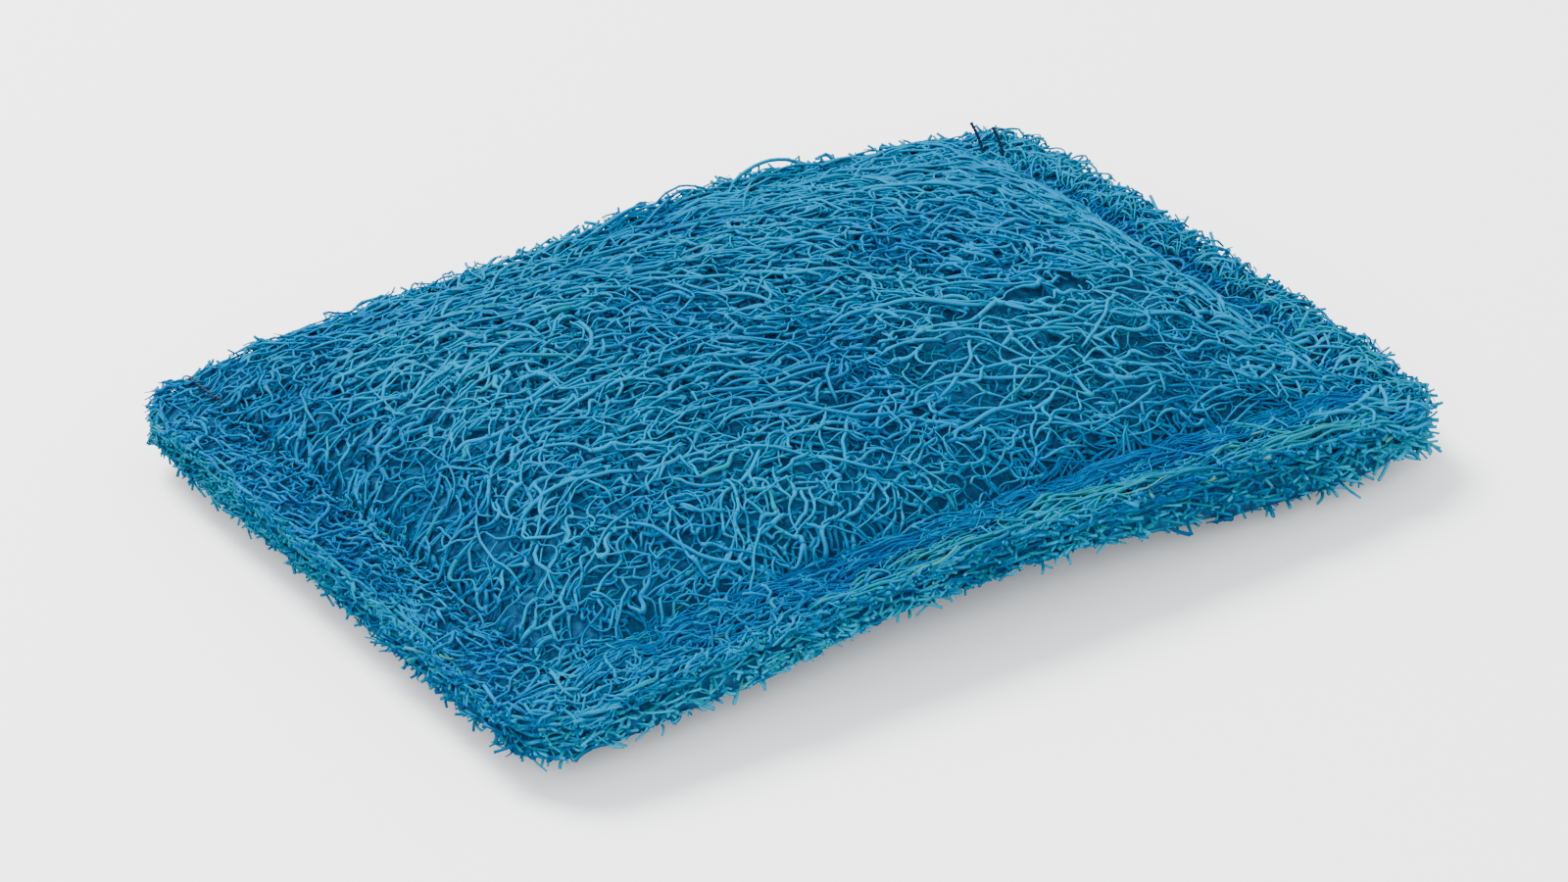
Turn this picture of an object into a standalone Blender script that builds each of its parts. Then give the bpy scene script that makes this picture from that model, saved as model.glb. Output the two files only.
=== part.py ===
"""Loofah sponge filter pad: two loofah sheets sewn face to face round a foam core.

Four straight lockstitch seams run from cut edge to cut edge, one beside each side of the pad. In every
needle hole the needle thread's loop passes under the bobbin thread's loop, and that link holds the pad shut.

Frame: metres, +X along the pad, +Y across it, +Z up. The origin is the middle of the flat patch that the
pad rests on. Every soft piece is a slab between two heights over one shared flat pattern, so the faces of
neighbouring pieces are parallel and keep their clearance.
"""

import math
from types import SimpleNamespace

import bmesh
import bpy
import numpy as np
from mathutils import Vector
from mathutils.geometry import delaunay_2d_cdt

# Loofah sheets, as cut and as sewn
PAD_LENGTH = 0.148
PAD_WIDTH = 0.098
CORNER_RADIUS = 0.009
CUT_WOBBLE = 0.0006  # how far the cut edge strays from a straight line
WOBBLE_WAVES = (14, 26)  # even numbers of long and short waves round the edge
SHEET_THICKNESS = 0.006  # in the middle, where nothing squeezes it
MARGIN_THICKNESS = 0.0027  # each sheet at the cut edge, outside the seam
SEAM_THICKNESS = 0.0017  # each sheet under the stitches
MARGIN_SPLAY = 0.0008  # how far the sheets part at the cut edge
FRONT_LIFT = 0.0048  # how far the middle of each side curls up
BACK_LIFT = 0.0036
LEFT_LIFT = 0.0010
RIGHT_LIFT = 0.0016

# Foam core
CORE_THICKNESS = 0.012
CORE_SINK = 0.002  # how much of the core lies below the plane where the sheets meet
CORE_EDGE_THICKNESS = 0.0016
REST_PRESS = 0.001  # how much the lower sheet is flattened where the pad rests

# Seams
SEAM_INSET = 0.009  # from the cut edge to the stitches
STITCH_LENGTH = 0.007
THREAD_DIAMETER = 0.0005
PINCH_WIDTH = 0.0026  # from the channel of a seam to where the margin has its full thickness
TAIL_PAST_EDGE = 0.002  # cut thread ends past the edge of the pad
TAIL_RISE = 0.0015
HUMP_SHARE = 0.8  # how far towards the next hole a thread may stay humped over the thread that it crosses

# Fits
SEAT_GAP = 0.0003  # between faces that rest on each other
THREAD_GAP = 0.00015  # round a thread

# Swell of the pillow between the seams: how square it is along X and Y, and how steep its foot is
SWELL_POWER_X = 3.0
SWELL_POWER_Y = 2.6
SWELL_FOOT = 0.7

# Fineness of the flat pattern
CUT_EDGE_STEP = 0.0065
CORNER_STEPS = 5
PATTERN_COLUMNS = 9  # from the middle to the seam along X
PATTERN_ROWS = 7
PATTERN_CROWDING = 1.35  # above 1, rows crowd towards the seams
CORE_OUTLINE_POINTS = 44
LEAST_SPACING = 0.0016
SHARP_EDGE = math.radians(50)

SEAM_X = PAD_LENGTH / 2 - SEAM_INSET
SEAM_Y = PAD_WIDTH / 2 - SEAM_INSET
LOOP_HALF = THREAD_DIAMETER + THREAD_GAP  # half the width of a thread's loop
LINK_HALF = (THREAD_DIAMETER + THREAD_GAP) / 2  # how far each loop reaches past the other
HOLE_HALF = LOOP_HALF + math.sqrt(2) * (THREAD_DIAMETER / 2 + THREAD_GAP)  # half a needle hole's diagonal
CHANNEL_HALF = HOLE_HALF + THREAD_GAP  # half the flat floor of the seam's channel
SWELL_X = SEAM_X - CHANNEL_HALF
SWELL_Y = SEAM_Y - CHANNEL_HALF
MEETING_HEIGHT = SHEET_THICKNESS + CORE_SINK + SEAT_GAP / 2 - REST_PRESS

LOOFAH_BLUE = (0.010, 0.200, 0.350)
LOOFAH_DEEP_BLUE = (0.008, 0.150, 0.300)
FOAM_NAVY = (0.010, 0.045, 0.095)
THREAD_NAVY = (0.015, 0.022, 0.085)


def clear_scene():
    for thing in list(bpy.data.objects):
        bpy.data.objects.remove(thing)


def material(name, colour, roughness):
    made = bpy.data.materials.new(name)
    made.use_nodes = True
    shader = made.node_tree.nodes["Principled BSDF"]
    shader.inputs["Base Color"].default_value = (*colour, 1.0)
    shader.inputs["Roughness"].default_value = roughness
    shader.inputs["Metallic"].default_value = 0.0
    return made


# Heights. Each takes x and y, as numbers or as arrays, and gives z.


def swell(x, y):
    """0 on and outside the seams, and 1 in the middle of the pad."""
    u = np.minimum(np.abs(x) / SWELL_X, 1)
    v = np.minimum(np.abs(y) / SWELL_Y, 1)
    return ((1 - u**SWELL_POWER_X) * (1 - v**SWELL_POWER_Y)) ** SWELL_FOOT


def meeting_plane(x, y):
    """The plane between the sheets: level at the corners, and lifted along the middle of each side."""
    along = (x / (PAD_LENGTH / 2)) ** 2
    across = (y / (PAD_WIDTH / 2)) ** 2
    long_side_lift = np.where(y < 0, FRONT_LIFT, BACK_LIFT) * (1 - along) * across
    short_side_lift = np.where(x < 0, LEFT_LIFT, RIGHT_LIFT) * (1 - across) * along
    return MEETING_HEIGHT + long_side_lift + short_side_lift


def beyond_seam(x, y):
    """How far a point lies outside the rectangle of the seams, from 0 to 1 at the cut edge."""
    outside = np.maximum(np.abs(x) - SEAM_X, np.abs(y) - SEAM_Y)
    return np.clip(outside / SEAM_INSET, 0, 1)


def half_gap(x, y):
    return (SEAT_GAP + MARGIN_SPLAY * beyond_seam(x, y) ** 2) / 2


def sheet_thickness(x, y):
    """Thin in the seam's channel, fuller towards the cut edge, and fullest in the middle of the pad."""
    to_seam = np.minimum(np.abs(np.abs(x) - SEAM_X), np.abs(np.abs(y) - SEAM_Y))
    out_of_channel = np.clip((to_seam - CHANNEL_HALF) / PINCH_WIDTH, 0, 1)
    margin = SEAM_THICKNESS + (MARGIN_THICKNESS - SEAM_THICKNESS) * np.sqrt(out_of_channel)
    middle = SEAM_THICKNESS + (SHEET_THICKNESS - SEAM_THICKNESS) * np.sqrt(swell(x, y))
    return np.where(beyond_seam(x, y) > 0, margin, middle)


def upper_inside(x, y):
    rise = CORE_THICKNESS - CORE_SINK
    return meeting_plane(x, y) + half_gap(x, y) + rise * swell(x, y)


def upper_outside(x, y):
    return upper_inside(x, y) + sheet_thickness(x, y)


def lower_inside(x, y):
    return meeting_plane(x, y) - half_gap(x, y) - CORE_SINK * swell(x, y)


def lower_outside(x, y):
    return np.maximum(lower_inside(x, y) - sheet_thickness(x, y), 0.0)


def core_top(x, y):
    return upper_inside(x, y) - SEAT_GAP


def core_bottom(x, y):
    return lower_inside(x, y) + SEAT_GAP


# Seams


def seam(name, along_x, side):
    """One straight seam beside a side of the pad, with its needle holes and its crossings with others."""
    into_corner = max(CORNER_RADIUS - SEAM_INSET, 0)
    lost_at_corner = CORNER_RADIUS - math.sqrt(CORNER_RADIUS**2 - into_corner**2)
    half_length = (PAD_LENGTH if along_x else PAD_WIDTH) / 2 - lost_at_corner
    between_crossings = 2 * (SEAM_X if along_x else SEAM_Y)
    offset = side * (SEAM_Y if along_x else SEAM_X)
    stitches = round(between_crossings / STITCH_LENGTH)
    pitch = between_crossings / stitches
    holes = [(i - stitches / 2 - 0.5) * pitch for i in range(stitches + 2)]

    def place(along, aside=0.0):
        return (along, offset + aside) if along_x else (offset + aside, along)

    return SimpleNamespace(
        name=name,
        holes=holes,
        place=place,
        half_length=half_length,
        crossing=between_crossings / 2,
        passes_over=not along_x,
    )


SEAMS = [
    seam("front", True, -1),
    seam("back", True, 1),
    seam("left", False, -1),
    seam("right", False, 1),
]


# Flat pattern


def cut_outline():
    """The pad's rounded rectangle, walked once round, with a slight wobble left by the shears."""
    corner_x = PAD_LENGTH / 2 - CORNER_RADIUS
    corner_y = PAD_WIDTH / 2 - CORNER_RADIUS
    points = []
    for start, (sx, sy) in enumerate([(1, 1), (-1, 1), (-1, -1), (1, -1)]):
        for step in range(CORNER_STEPS + 1):
            angle = (start + step / CORNER_STEPS) * math.pi / 2
            out = Vector((math.cos(angle), math.sin(angle)))
            points.append(Vector((sx * corner_x, sy * corner_y)) + CORNER_RADIUS * out)
        side = 2 * (corner_x if start % 2 == 0 else corner_y)
        direction = Vector((-math.sin(angle), math.cos(angle)))
        count = max(1, round(side / CUT_EDGE_STEP))
        points += [points[-1] + direction * side * i / count for i in range(1, count)]
    long_waves, short_waves = WOBBLE_WAVES
    wobbled = []
    for i, point in enumerate(points):
        turn = 2 * math.pi * i / len(points)
        stray = CUT_WOBBLE * (math.sin(long_waves * turn) + math.cos(short_waves * turn)) / 2
        wobbled.append(point + stray * point.normalized())
    return wobbled


def core_outline():
    """Where the space between the sheets is just as tall as the core's edge, along evenly turned rays."""
    angles = np.arange(CORE_OUTLINE_POINTS) * 2 * np.pi / CORE_OUTLINE_POINTS
    ray_x, ray_y = SWELL_X * np.cos(angles), SWELL_Y * np.sin(angles)
    low, high = np.zeros_like(angles), np.full_like(angles, math.sqrt(2))
    for halving in range(40):
        share = (low + high) / 2
        tall = core_top(ray_x * share, ray_y * share) - core_bottom(ray_x * share, ray_y * share)
        low = np.where(tall > CORE_EDGE_THICKNESS, share, low)
        high = np.where(tall > CORE_EDGE_THICKNESS, high, share)
    return [Vector(p) for p in zip(ray_x * low, ray_y * low)]


def needle_hole(centre):
    x, y = centre
    return [Vector((x + dx * HOLE_HALF, y + dy * HOLE_HALF)) for dx, dy in ((1, 0), (0, 1), (-1, 0), (0, -1))]


def crowded(count):
    """Places from -1 to 1, without the ends, that lie closer together towards the ends."""
    half = [1 - (1 - i / count) ** PATTERN_CROWDING for i in range(count)]
    return [-h for h in reversed(half[1:])] + half


def flat_pattern():
    """The pad seen from above: the points of one triangulation, and the sheets' and the core's triangles."""
    points, edges, faces = [], [], []

    def add_loop(loop):
        first = len(points)
        points.extend(loop)
        faces.append(list(range(first, len(points))))

    add_loop(cut_outline())
    add_loop(core_outline())
    core_points = len(points)
    for line in SEAMS:
        for along in line.holes:
            add_loop(needle_hole(line.place(along)))
    for line in SEAMS:  # the two edges of the channel's flat floor, run past both cut edges of the pad
        end = line.half_length + SEAM_INSET
        for side in (-HOLE_HALF, HOLE_HALF):
            first = len(points)
            points.extend(Vector(line.place(along, side)) for along in [-end, *line.holes, end])
            edges.extend((i, i + 1) for i in range(first, len(points) - 1))
    keep_off = points[:core_points]
    for u in crowded(PATTERN_COLUMNS):
        for v in crowded(PATTERN_ROWS):
            free = Vector((u * SWELL_X, v * SWELL_Y))
            if min((free - other).length for other in keep_off) > LEAST_SPACING:
                points.append(free)
    places, _, triangles, _, _, within = delaunay_2d_cdt(points, edges, faces, 0, 1e-7, True)
    sheet = [t for t, loops in zip(triangles, within) if 0 in loops and not any(n > 1 for n in loops)]
    core = [t for t, loops in zip(triangles, within) if 1 in loops]
    return places, sheet, core


def slab(name, places, triangles, top, bottom, finish):
    """A closed solid over these triangles of the flat pattern, between two heights."""
    shape = bmesh.new()
    used = sorted({i for triangle in triangles for i in triangle})
    corners = {i: shape.verts.new((places[i].x, places[i].y, 0.0)) for i in used}
    flat = [shape.faces.new([corners[i] for i in triangle]) for triangle in triangles]
    made = bmesh.ops.extrude_face_region(shape, geom=flat)
    raised = {v for v in made["geom"] if isinstance(v, bmesh.types.BMVert)}
    for vertex in shape.verts:
        height = top if vertex in raised else bottom
        vertex.co.z = height(vertex.co.x, vertex.co.y)
    bmesh.ops.recalc_face_normals(shape, faces=shape.faces)
    mesh = bpy.data.meshes.new(name)
    shape.to_mesh(mesh)
    shape.free()
    mesh.materials.append(finish)
    mesh.shade_smooth()
    mesh.set_sharp_from_angle(angle=SHARP_EDGE)
    made = bpy.data.objects.new(name, mesh)
    bpy.context.scene.collection.objects.link(made)
    return made


# Threads


def needle_run_height(x, y):
    """The middle of a thread that lies on the upper sheet."""
    return upper_outside(x, y) + THREAD_GAP + THREAD_DIAMETER / 2


def bobbin_run_height(x, y):
    """The middle of a thread that lies under the lower sheet."""
    return lower_outside(x, y) - THREAD_GAP - THREAD_DIAMETER / 2


def crossing_hump(line, left, right, aside, run_height, step_over):
    """The stretch between two holes where this seam steps over the thread of a seam sewn before it."""
    points = []
    for crossing in (-line.crossing, line.crossing):
        if line.passes_over and left < crossing < right:
            reach = min(LOOP_HALF + THREAD_DIAMETER + THREAD_GAP, HUMP_SHARE * (right - left) / 2)
            for along in (crossing - reach, crossing + reach):
                x, y = line.place(along, aside)
                points.append((x, y, run_height(x, y) + step_over))
    return points


def thread_end(line, end, aside, run_height, past, rise):
    """From the cut edge, outside of the last hole, to the cut end of the thread."""
    points = []
    for along, lift in ((line.half_length, 0.0), (line.half_length + past, rise)):
        x, y = line.place(end * along, aside)
        points.append((x, y, run_height(x, y) + lift))
    return points


def needle_thread_points(line):
    """Along the upper sheet, and at each hole down to a loop along the seam, just below the meeting plane."""
    step_over = THREAD_DIAMETER + THREAD_GAP
    points = thread_end(line, -1, 0.0, needle_run_height, TAIL_PAST_EDGE, TAIL_RISE)[::-1]
    for i, hole in enumerate(line.holes):
        for along, height in (
            (hole - LOOP_HALF, needle_run_height),
            (hole - LOOP_HALF, lambda x, y: meeting_plane(x, y) - LINK_HALF),
            (hole + LOOP_HALF, lambda x, y: meeting_plane(x, y) - LINK_HALF),
            (hole + LOOP_HALF, needle_run_height),
        ):
            x, y = line.place(along)
            points.append((x, y, height(x, y)))
        if i + 1 < len(line.holes):
            points += crossing_hump(line, hole, line.holes[i + 1], 0.0, needle_run_height, step_over)
    return points + thread_end(line, 1, 0.0, needle_run_height, TAIL_PAST_EDGE, TAIL_RISE)


def bobbin_thread_points(line):
    """Under the lower sheet, and at each hole up to a loop across the seam, just above the meeting plane."""
    step_over = -(THREAD_DIAMETER + THREAD_GAP)
    side = LOOP_HALF
    points = thread_end(line, -1, side, bobbin_run_height, 0.0, 0.0)[:1]
    for i, hole in enumerate(line.holes):
        for aside, height in (
            (side, bobbin_run_height),
            (side, lambda x, y: meeting_plane(x, y) + LINK_HALF),
            (-side, lambda x, y: meeting_plane(x, y) + LINK_HALF),
            (-side, bobbin_run_height),
        ):
            x, y = line.place(hole, aside)
            points.append((x, y, height(x, y)))
        side = -side
        if i + 1 < len(line.holes):
            points += crossing_hump(line, hole, line.holes[i + 1], side, bobbin_run_height, step_over)
    return points + thread_end(line, 1, side, bobbin_run_height, 0.0, 0.0)[:1]


def thread(name, points, finish):
    curve = bpy.data.curves.new(name, "CURVE")
    curve.dimensions = "3D"
    curve.bevel_depth = THREAD_DIAMETER / 2
    curve.bevel_resolution = 1
    curve.use_fill_caps = True
    spline = curve.splines.new("POLY")
    spline.points.add(len(points) - 1)
    for point, place in zip(spline.points, points):
        point.co = (*place, 1.0)
    curve.materials.append(finish)
    made = bpy.data.objects.new(name, curve)
    bpy.context.scene.collection.objects.link(made)
    return made


def main():
    clear_scene()
    upper_loofah = material("upper_loofah", LOOFAH_BLUE, 0.45)
    lower_loofah = material("lower_loofah", LOOFAH_DEEP_BLUE, 0.5)
    foam = material("foam", FOAM_NAVY, 0.9)
    sewing_thread = material("sewing_thread", THREAD_NAVY, 0.6)

    places, sheet, core = flat_pattern()
    slab("upper_loofah_sheet", places, sheet, upper_outside, upper_inside, upper_loofah)
    slab("lower_loofah_sheet", places, sheet, lower_inside, lower_outside, lower_loofah)
    slab("foam_core", places, core, core_top, core_bottom, foam)
    for line in SEAMS:
        thread(f"needle_thread_{line.name}", needle_thread_points(line), sewing_thread)
        thread(f"bobbin_thread_{line.name}", bobbin_thread_points(line), sewing_thread)


main()
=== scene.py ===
"""Looks of the loofah sponge filter pad, laid round its packed construction."""

import math

import bpy
import numpy as np
from mathutils import Matrix, Vector
from mathutils.geometry import delaunay_2d_cdt


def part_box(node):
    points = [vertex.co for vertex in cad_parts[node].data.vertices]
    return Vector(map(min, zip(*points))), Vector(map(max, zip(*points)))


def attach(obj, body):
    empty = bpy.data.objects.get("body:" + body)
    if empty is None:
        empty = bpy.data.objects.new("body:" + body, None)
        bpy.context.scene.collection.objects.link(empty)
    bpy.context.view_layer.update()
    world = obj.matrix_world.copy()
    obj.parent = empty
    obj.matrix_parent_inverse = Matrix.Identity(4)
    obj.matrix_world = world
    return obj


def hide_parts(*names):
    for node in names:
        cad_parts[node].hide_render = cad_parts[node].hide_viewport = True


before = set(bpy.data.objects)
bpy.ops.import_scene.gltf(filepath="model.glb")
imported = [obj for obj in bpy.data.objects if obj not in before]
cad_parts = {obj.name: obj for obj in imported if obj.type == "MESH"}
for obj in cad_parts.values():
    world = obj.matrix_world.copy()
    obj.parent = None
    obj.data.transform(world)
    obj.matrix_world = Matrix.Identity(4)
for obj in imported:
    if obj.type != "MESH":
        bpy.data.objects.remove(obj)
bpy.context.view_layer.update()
MM = 0.001

# Camera, light and floor. A long lens looks down at the pad from beyond its front left corner. A broad soft
# lamp hangs behind and above it, a weaker one stands beside the camera, and the floor is matt and nearly
# white.
CAMERA_AZIMUTH = math.radians(-36.9)
CAMERA_ELEVATION = math.radians(30.2)
CAMERA_ROLL = math.radians(2.2)
CAMERA_DISTANCE = 0.661
CAMERA_LENS = 112.5
AIM_RIGHT, AIM_UP = -0.0011, 0.0032  # from the middle of the pad's rest face
FLOOR_HALF = 3.0


def pointing(back, roll=0.0):
    """A turn whose +Z is back, whose +X is level, and that is then rolled about +Z."""
    level = Vector((0, 0, 1)).cross(back).normalized()
    return Matrix((level, back.cross(level), back)).transposed().to_4x4() @ Matrix.Rotation(roll, 4, "Z")


def placed(name, data):
    """A new object in the scene."""
    made = bpy.data.objects.new(name, data)
    bpy.context.scene.collection.objects.link(made)
    return made


def camera():
    flat = math.cos(CAMERA_ELEVATION)
    back = Vector((
        math.sin(CAMERA_AZIMUTH) * flat,
        -math.cos(CAMERA_AZIMUTH) * flat,
        math.sin(CAMERA_ELEVATION),
    ))
    turn = pointing(back, CAMERA_ROLL)
    lens = bpy.data.cameras.new("camera")
    lens.lens = CAMERA_LENS
    lens.clip_start = 0.01
    made = placed("camera", lens)
    made.matrix_world = Matrix.Translation(turn @ Vector((AIM_RIGHT, AIM_UP, CAMERA_DISTANCE))) @ turn
    bpy.context.scene.camera = made


def lamp(name, place, size, power, colour):
    light = bpy.data.lights.new(name, "AREA")
    light.shape = "DISK"
    light.size = size
    light.energy = power
    light.color = colour
    place = Vector(place)
    placed(name, light).matrix_world = Matrix.Translation(place) @ pointing(place.normalized())


def material(name):
    """A new material and its shader node."""
    made = bpy.data.materials.new(name)
    made.use_nodes = True
    return made, made.node_tree.nodes["Principled BSDF"]


def floor():
    corners = [(-FLOOR_HALF, -FLOOR_HALF, 0), (FLOOR_HALF, -FLOOR_HALF, 0)]
    corners += [(FLOOR_HALF, FLOOR_HALF, 0), (-FLOOR_HALF, FLOOR_HALF, 0)]
    mesh = bpy.data.meshes.new("floor")
    mesh.from_pydata(corners, [], [(0, 1, 2, 3)])
    paper, shader = material("floor_paper")
    shader.inputs["Base Color"].default_value = (0.93, 0.93, 0.93, 1.0)
    shader.inputs["Roughness"].default_value = 0.9
    mesh.materials.append(paper)
    placed("floor", mesh)


camera()
floor()
lamp("key_lamp", (-0.25, 0.75, 1.10), size=0.70, power=50.0, colour=(1.0, 0.99, 0.97))
lamp("fill_lamp", (-0.90, -0.90, 0.80), size=0.90, power=22.0, colour=(0.97, 0.99, 1.0))
room = bpy.data.worlds.new("room")
room.use_nodes = True
room.node_tree.nodes["Background"].inputs["Color"].default_value = (0.95, 0.98, 1.0, 1.0)
room.node_tree.nodes["Background"].inputs["Strength"].default_value = 1.75
bpy.context.scene.world = room


# Foam core. A slab of fine open-celled foam, dyed with the pad, lies loose between the sheets inside the
# seams and gives the pad its crown. Its pores show in its relief.
upper_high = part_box("upper_loofah_sheet")[1]
HALF_LENGTH, HALF_WIDTH = upper_high.x, upper_high.y
SEAM_X = sum(corner.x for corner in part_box("needle_thread_right")) / 2
SEAM_Y = sum(corner.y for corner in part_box("needle_thread_back")) / 2
CORNER_RADIUS = HALF_WIDTH - SEAM_Y
CHANNEL_HALF = 1.4 * MM
FRONT_LIFT, BACK_LIFT = 4.8 * MM, 3.6 * MM  # how far the middle of each side curls up
LEFT_LIFT, RIGHT_LIFT = 1.0 * MM, 1.6 * MM
BACK_HUMP = 2.4 * MM  # how much more the back curls up a little right of its middle
BACK_CORNER_LIFT = 1.1 * MM  # of the back right corner
MEETING_HEIGHT = 7.15 * MM
CORE_RISE, CORE_SINK = 10 * MM, 2 * MM  # how far the core lifts the upper sheet and sinks the lower one
SEAM_THICKNESS, MARGIN_THICKNESS, SHEET_THICKNESS = 1.7 * MM, 2.7 * MM, 6.0 * MM
PINCH_WIDTH = 2.6 * MM
CORE_CLEARANCE = 0.5 * MM
CORE_CORNER = 12 * MM  # radius of the core's corners in plan


def swell(x, y):
    """0 on and outside the seams and 1 in the middle: a power of what is left of 1 along X and along Y."""
    u = np.minimum(np.abs(x) / (SEAM_X - CHANNEL_HALF), 1)
    v = np.minimum(np.abs(y) / (SEAM_Y - CHANNEL_HALF), 1)
    return ((1 - u**3) * (1 - v**2.6)) ** 0.7


def bell(t):
    """e to the power of minus t squared."""
    return np.exp(-(t**2))


def meeting_plane(x, y):
    """The level where the sheets meet, with parabolas that lift the middle of each side."""
    along, across = (x / HALF_LENGTH) ** 2, (y / HALF_WIDTH) ** 2
    hump = BACK_HUMP * bell((x - 26 * MM) / (27 * MM))
    lift = np.where(y < 0, FRONT_LIFT, BACK_LIFT + hump) * (1 - along) * across
    corner = BACK_CORNER_LIFT * np.clip(x / HALF_LENGTH, 0, 1) ** 3 * np.clip(y / HALF_WIDTH, 0, 1)
    return MEETING_HEIGHT + lift + corner + np.where(x < 0, LEFT_LIFT, RIGHT_LIFT) * (1 - across) * along


def sheet_thickness(x, y):
    """Least in the sewn channel. It grows as a root of the distance outwards, and of the swell inwards."""
    to_seam = np.minimum(np.abs(np.abs(x) - SEAM_X), np.abs(np.abs(y) - SEAM_Y))
    released = np.clip((to_seam - CHANNEL_HALF) / PINCH_WIDTH, 0, 1)
    outer = np.sqrt(released) * (MARGIN_THICKNESS - SEAM_THICKNESS)
    middle = np.sqrt(swell(x, y)) * (SHEET_THICKNESS - SEAM_THICKNESS)
    outside = (np.abs(x) > SEAM_X) | (np.abs(y) > SEAM_Y)
    return SEAM_THICKNESS + np.where(outside, outer, middle)


def upper_face(x, y):
    """The level where the sheets meet, plus the core's rise times the swell, plus the sheet's thickness."""
    return meeting_plane(x, y) + CORE_RISE * swell(x, y) + sheet_thickness(x, y)


def droop(x, y):
    """How far the lower sheet's front margin hangs off the upper one: two smooth humps along the edge."""
    humps = 1.9 * MM * bell((x + 50 * MM) / (23 * MM)) + 3.6 * MM * bell((x - 44 * MM) / (27 * MM))
    return humps * np.clip((-y - SEAM_Y) / (HALF_WIDTH - SEAM_Y), 0, 1)


def lower_face(x, y):
    """The same downwards, with the core's sinking and the droop, and pressed flat where the pad rests."""
    level = meeting_plane(x, y) - CORE_SINK * swell(x, y) - sheet_thickness(x, y)
    return np.maximum(level - droop(x, y), 0)


def lay(x, y, face, side, depth):
    """Puts points in plan on a face of the pad, sunk by depth along its normal. side is 1 above, -1 below."""
    reach = 0.4 * MM
    slope_x = np.clip((face(x + reach, y) - face(x - reach, y)) / (2 * reach), -1.5, 1.5)
    slope_y = np.clip((face(x, y + reach) - face(x, y - reach)) / (2 * reach), -1.5, 1.5)
    sunk = side * depth / np.sqrt(1 + slope_x**2 + slope_y**2)
    return x + sunk * slope_x, y + sunk * slope_y, face(x, y) - sunk


def rounded_side(angle, half_x, half_y, radius):
    """The point of a rounded rectangle in the direction angle from its middle, by halving along the ray."""
    ray_x, ray_y = np.cos(angle), np.sin(angle)
    low, high = np.zeros_like(angle), np.full_like(angle, half_x + half_y)
    for halving in range(30):
        reach = (low + high) / 2
        past_x = np.maximum(np.abs(ray_x * reach) - half_x + radius, 0)
        past_y = np.maximum(np.abs(ray_y * reach) - half_y + radius, 0)
        within = np.hypot(past_x, past_y) < radius
        low, high = np.where(within, reach, low), np.where(within, high, reach)
    return ray_x * low, ray_y * low


def closed_form(name, across, around, place):
    """A closed surface with a pole above and one below. place(s, angle) gives x, y and z, where s runs from 0
    at the upper pole to 1 at the rim and 2 at the lower pole."""
    turn = np.arange(around) * 2 * np.pi / around
    s, angle = np.meshgrid(np.linspace(0, 2, across + 1)[1:-1], turn, indexing="ij")
    rings = np.stack(place(s, angle), -1).reshape(-1, 3)
    poles = np.array([np.stack(place(np.array(end), np.array(0.0)), -1) for end in (0.0, 2.0)])
    points = np.concatenate([rings, poles])
    row, column = np.meshgrid(np.arange(across - 2), np.arange(around), indexing="ij")
    a = (row * around + column).ravel()
    b = (row * around + (column + 1) % around).ravel()
    quads = np.stack([a, a + around, b + around, b], -1)
    first = np.arange(around)
    last = first + (across - 2) * around
    top, bottom = len(rings), len(rings) + 1
    fans = [(top, i, (i + 1) % around) for i in first]
    fans += [(bottom, last[(i + 1) % around], last[i]) for i in first]
    mesh = bpy.data.meshes.new(name)
    mesh.from_pydata(points.tolist(), [], quads.tolist() + [tuple(int(i) for i in fan) for fan in fans])
    mesh.shade_smooth()
    return placed(name, mesh)


def core_place(s, angle):
    """The core's outline shrunk by a root of the way in from the rim. Its faces keep clear of the sheets,
    down to a thin edge."""
    share = np.sqrt(1 - np.abs(1 - s))
    core_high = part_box("foam_core")[1]
    edge_x, edge_y = rounded_side(angle, core_high.x, core_high.y, CORE_CORNER)
    x, y = edge_x * share, edge_y * share
    rise = np.where(s < 1, CORE_RISE, -CORE_SINK) * swell(x, y)
    edge = np.where(s < 1, CORE_CLEARANCE, -CORE_CLEARANCE) * np.minimum(1, 10 * (1 - share))
    return x, y, meeting_plane(x, y) + np.where(np.abs(rise) > 2 * CORE_CLEARANCE, rise - edge, rise / 2)


def texture(tree, kind, scale):
    """A texture read in metres of the pad's own frame."""
    where = tree.nodes.new("ShaderNodeTexCoord")
    made = tree.nodes.new(kind)
    made.inputs["Scale"].default_value = scale
    tree.links.new(where.outputs["Object"], made.inputs["Vector"])
    return made


def noise(tree, scale, detail):
    """The value of a noise texture."""
    made = texture(tree, "ShaderNodeTexNoise", scale)
    made.inputs["Detail"].default_value = detail
    return made.outputs["Fac"]


def ramp(tree, value, first, *others):
    """The colour for value on a ramp of stops, each of which is a place from 0 to 1 and a colour."""
    made = tree.nodes.new("ShaderNodeValToRGB")
    stops = made.color_ramp.elements
    stops.remove(stops[1])
    stops[0].position = first[0]
    stops[0].color = (*first[1], 1)
    for place, colour in others:
        stops.new(place).color = (*colour, 1)
    tree.links.new(value, made.inputs["Fac"])
    return made.outputs["Color"]


def bump(tree, shader, height, distance):
    """Gives the shader a relief that follows height and is distance deep."""
    made = tree.nodes.new("ShaderNodeBump")
    made.inputs["Distance"].default_value = distance
    tree.links.new(height, made.inputs["Height"])
    tree.links.new(made.outputs["Normal"], shader.inputs["Normal"])


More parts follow.
